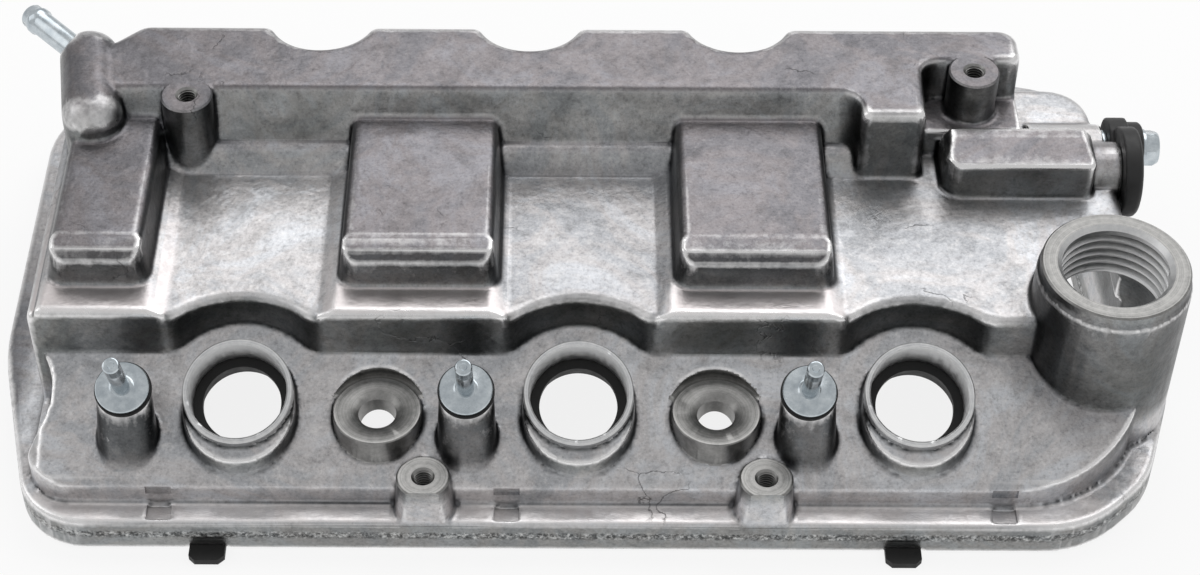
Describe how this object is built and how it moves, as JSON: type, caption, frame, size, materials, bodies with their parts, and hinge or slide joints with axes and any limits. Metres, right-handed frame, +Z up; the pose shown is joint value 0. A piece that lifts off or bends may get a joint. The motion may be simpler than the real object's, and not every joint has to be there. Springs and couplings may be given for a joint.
{
  "type": "engine valve cover",
  "caption": "Die-cast valve cover with plug tubes, rocker humps, a rear breather chamber, an oil filler neck, coil studs and a hose pipe.",
  "frame": {"origin": "centre of the bounding box at the gasket's underside, which is the joint with the cylinder head", "axes": "+X along the cover towards the end cap, +Y towards the rear chamber, +Z up, away from the cylinder head"},
  "size_m": [0.3554, 0.1922, 0.0775],
  "materials": {
    "cast_aluminium": "as-cast, satin",
    "zinc_steel": "bright zinc plate",
    "baffle_steel": "rolled sheet",
    "gasket_rubber": "matt",
    "black_plastic": "dull moulded"
  },
  "bodies": {
    "root": {"cover_casting": "cast_aluminium", "perimeter_gasket": "gasket_rubber", "breather_pipe": "zinc_steel", "end_cap": "black_plastic", "end_cap_sleeve": "zinc_steel", "end_cap_bolt": "zinc_steel", "end_cap_oring": "gasket_rubber", "baffle_plate": "baffle_steel", "tube_seal_left": "gasket_rubber", "coil_stud_left": "zinc_steel", "stud_washer_left": "gasket_rubber", "tube_seal_centre": "gasket_rubber", "coil_stud_centre": "zinc_steel", "stud_washer_centre": "gasket_rubber", "tube_seal_right": "gasket_rubber", "coil_stud_right": "zinc_steel", "stud_washer_right": "gasket_rubber", "baffle_screw_1": "zinc_steel", "baffle_screw_2": "zinc_steel", "baffle_screw_3": "zinc_steel", "baffle_screw_4": "zinc_steel"}
  },
  "joints": []
}
